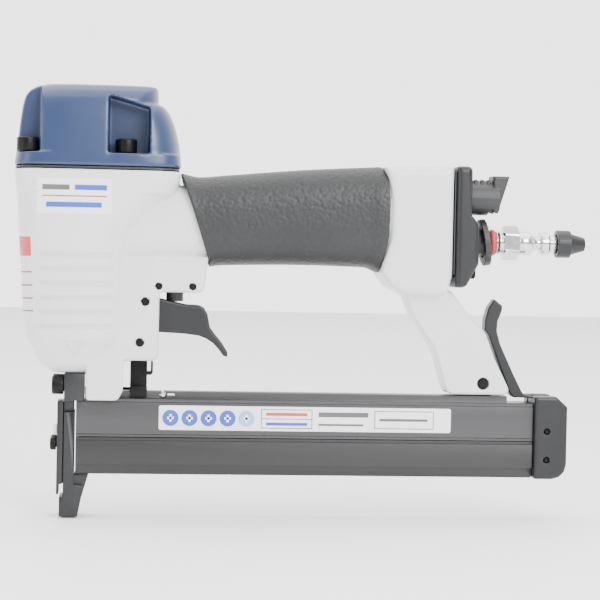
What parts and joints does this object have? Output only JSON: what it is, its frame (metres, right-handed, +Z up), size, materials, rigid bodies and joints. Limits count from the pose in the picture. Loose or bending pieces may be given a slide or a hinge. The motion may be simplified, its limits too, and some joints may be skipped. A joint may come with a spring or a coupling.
{
  "type": "pneumatic nail gun",
  "caption": "Air-powered nail gun for fine wire fastenings: cast housing, rubber grip, trigger, contact safety, driver, swivelling exhaust and a sliding magazine",
  "frame": {"origin": "where the drive axis leaves the flat tip of the nose", "axes": "+X from the nose back along the magazine and handle, +Y to the tool's right side, +Z up the drive axis away from the work"},
  "size_m": [0.2306, 0.045, 0.1703],
  "materials": {
    "white_paint": "satin light grey-white paint on a cast housing",
    "blue_paint": "satin navy paint",
    "rubber_grey": "moulded rubber with a fine pebble",
    "plastic_grey": "moulded plastic, fine grain",
    "black_steel": "black oxide steel",
    "nose_steel": "hardened steel, dark and ground",
    "anodised": "grey anodised, brushed along its length",
    "bright_steel": "bright nickel",
    "seal_red": "soft red seal",
    "seal_black": "black rubber",
    "aluminium": "turned"
  },
  "bodies": {
    "housing": {"air_plug": "bright_steel", "bumper": "seal_black", "cap_gasket": "seal_black", "cap_screw_1": "black_steel", "cap_screw_2": "black_steel", "cap_screw_3": "black_steel", "cap_screw_4": "black_steel", "collar_ring": "seal_black", "cylinder_cap": "blue_paint", "cylinder_sleeve": "aluminium", "end_cap_screw_left": "black_steel", "end_cap_screw_right": "black_steel", "exhaust_tube": "aluminium", "front_plate_clip": "bright_steel", "grip_sleeve": "rubber_grey", "handle_end_cap": "plastic_grey", "handle_gasket": "seal_black", "head_valve_spring": "bright_steel", "inlet_bushing": "seal_black", "inlet_seal_ring": "seal_red", "leg_cross_screw": "black_steel", "magazine_fixed": "anodised", "main_housing": "white_paint", "nose_body": "nose_steel", "nose_front_plate": "nose_steel", "nose_lower_screw_left": "black_steel", "nose_lower_screw_right": "black_steel", "nose_upper_screw_left": "black_steel", "nose_upper_screw_right": "black_steel", "rib_stop_pin": "bright_steel", "safety_guide_pin": "black_steel", "safety_spring": "bright_steel", "staple_rail": "bright_steel", "trigger_pin": "black_steel", "trigger_valve_body": "seal_black", "trigger_valve_spring": "bright_steel", "valve_pin_front": "black_steel", "valve_pin_rear": "black_steel"},
    "driver": {"piston": "aluminium", "piston_ring": "seal_black", "driver_blade": "bright_steel"},
    "head_valve": {"head_valve": "seal_black"},
    "trigger": {"trigger": "plastic_grey"},
    "valve_stem": {"trigger_valve_stem": "bright_steel"},
    "safety": {"safety_yoke": "nose_steel", "safety_link": "black_steel"},
    "magazine": {"magazine_slide": "anodised", "magazine_end_cap": "plastic_grey", "end_cap_pin_1": "black_steel", "end_cap_pin_2": "black_steel", "lever_pin": "black_steel", "pusher_rod": "bright_steel", "pusher_spring": "bright_steel"},
    "pusher": {"pusher": "bright_steel"},
    "lever": {"release_lever": "plastic_grey"},
    "deflector": {"exhaust_deflector": "seal_black"},
    "dust_cap": {"dust_cap": "plastic_grey"}
  },
  "joints": [
    {"name": "trigger_hinge", "type": "hinge", "parent": "housing", "child": "trigger", "pos_m": [0.0292, 0, 0.0856], "axis": [0, -1, 0], "range_deg": [0, 8], "stiffness_Nm_per_rad": 0.25, "springref_deg": -5.73},
    {"name": "valve_stem_slide", "type": "slide", "parent": "housing", "child": "valve_stem", "axis": [0, 0, 1], "range_m": [0, 0.0018], "deforming": ["trigger_valve_spring"]},
    {"name": "safety_slide", "type": "slide", "parent": "housing", "child": "safety", "axis": [0, 0, 1], "range_m": [0, 0.004], "stiffness_N_per_m": 400, "springref_m": -0.005, "deforming": ["safety_spring"]},
    {"name": "driver_stroke", "type": "slide", "parent": "housing", "child": "driver", "axis": [0, 0, -1], "range_m": [0, 0.047]},
    {"name": "head_valve_lift", "type": "slide", "parent": "housing", "child": "head_valve", "axis": [0, 0, 1], "range_m": [0, 0.003], "stiffness_N_per_m": 500, "springref_m": -0.004, "deforming": ["head_valve_spring"]},
    {"name": "magazine_open", "type": "slide", "parent": "housing", "child": "magazine", "axis": [1, 0, 0], "range_m": [0, 0.105]},
    {"name": "pusher_slide", "type": "slide", "parent": "magazine", "child": "pusher", "axis": [1, 0, 0], "range_m": [0, 0.1], "stiffness_N_per_m": 30, "springref_m": -0.05, "deforming": ["pusher_spring"]},
    {"name": "lever_hinge", "type": "hinge", "parent": "magazine", "child": "lever", "pos_m": [0.19, 0, 0.0452], "axis": [0, -1, 0], "range_deg": [0, 3], "stiffness_Nm_per_rad": 0.3, "springref_deg": -5.73},
    {"name": "deflector_swivel", "type": "hinge", "parent": "housing", "child": "deflector", "pos_m": [0.159, 0, 0.1296], "axis": [1, 0, 0], "continuous": true},
    {"name": "dust_cap_pull", "type": "slide", "parent": "housing", "child": "dust_cap", "axis": [1, 0, 0], "range_m": [0, 0.02]}
  ],
  "couplings": [
    {"joint": "valve_stem_slide", "follows": "trigger_hinge", "m_per_rad": 0.0119}
  ]
}
